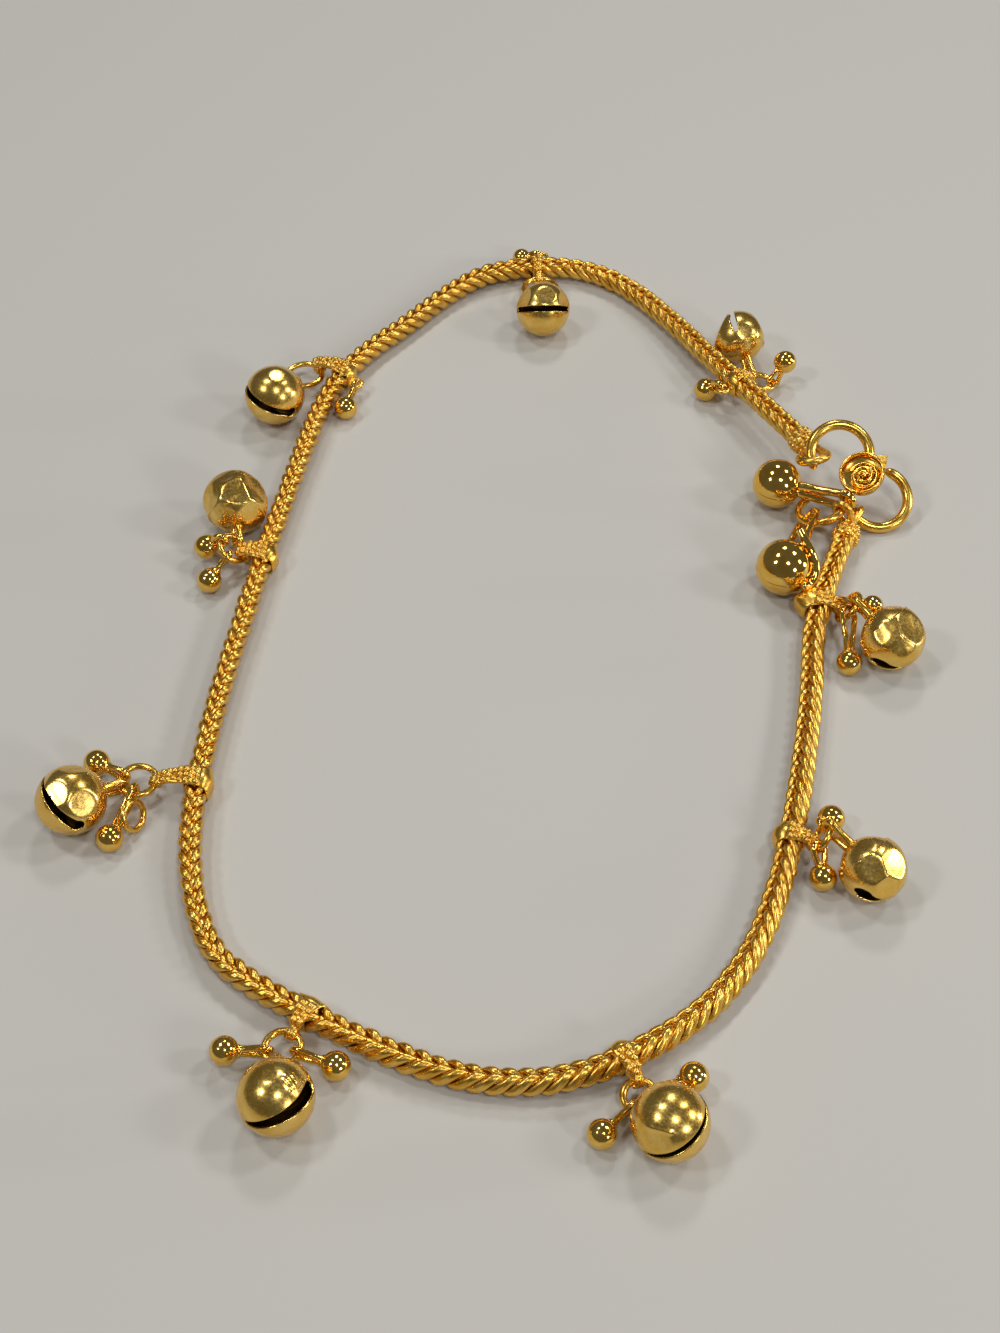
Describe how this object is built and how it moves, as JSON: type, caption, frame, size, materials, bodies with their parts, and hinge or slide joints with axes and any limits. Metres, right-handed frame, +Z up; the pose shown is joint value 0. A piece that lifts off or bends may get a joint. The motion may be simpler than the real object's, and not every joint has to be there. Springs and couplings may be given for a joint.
{
  "type": "charm anklet",
  "caption": "Woven gold chain anklet with clusters of slotted bells and plain balls on jump rings, closed by an S-shaped hook with a rosette.",
  "frame": {"origin": "on the surface it lies on, under the middle of the whole piece", "axes": "+Z up from the surface, +Y along the loop's long way with the clasp on the +X side"},
  "size_m": [0.0804, 0.114, 0.0068],
  "materials": {
    "woven_gold": "woven and burnished",
    "hammered_gold": "polished, lightly dented",
    "sheet_gold": "worn polish",
    "bright_gold": "polished",
    "wire_gold": "drawn wire, polished"
  },
  "bodies": {
    "root": {"chain": "woven_gold", "band_1": "sheet_gold", "jump_ring_1": "wire_gold", "bell_1": "hammered_gold", "ball_1a": "bright_gold", "ball_1b": "bright_gold", "band_2": "sheet_gold", "jump_ring_2": "wire_gold", "bell_2": "hammered_gold", "ball_2a": "bright_gold", "band_3": "sheet_gold", "jump_ring_3": "wire_gold", "bell_3": "hammered_gold", "ball_3a": "bright_gold", "band_4": "sheet_gold", "jump_ring_4": "wire_gold", "bell_4": "hammered_gold", "ball_4a": "bright_gold", "ball_4b": "bright_gold", "band_5": "sheet_gold", "jump_ring_5": "wire_gold", "bell_5": "hammered_gold", "ball_5a": "bright_gold", "ball_5b": "bright_gold", "band_6": "sheet_gold", "jump_ring_6": "wire_gold", "bell_6": "hammered_gold", "ball_6a": "bright_gold", "ball_6b": "bright_gold", "band_7": "sheet_gold", "jump_ring_7": "wire_gold", "bell_7": "hammered_gold", "ball_7a": "bright_gold", "ball_7b": "bright_gold", "band_8": "sheet_gold", "jump_ring_8": "wire_gold", "bell_8": "hammered_gold", "ball_8a": "bright_gold", "ball_8b": "bright_gold", "band_9": "sheet_gold", "jump_ring_9": "wire_gold", "bell_9": "hammered_gold", "ball_9a": "bright_gold", "ball_9b": "bright_gold", "hook": "wire_gold", "end_cap_a": "sheet_gold", "end_cap_b": "sheet_gold", "clasp_ring": "wire_gold", "clasp_ball_1": "bright_gold", "clasp_ball_2": "bright_gold"}
  },
  "joints": []
}
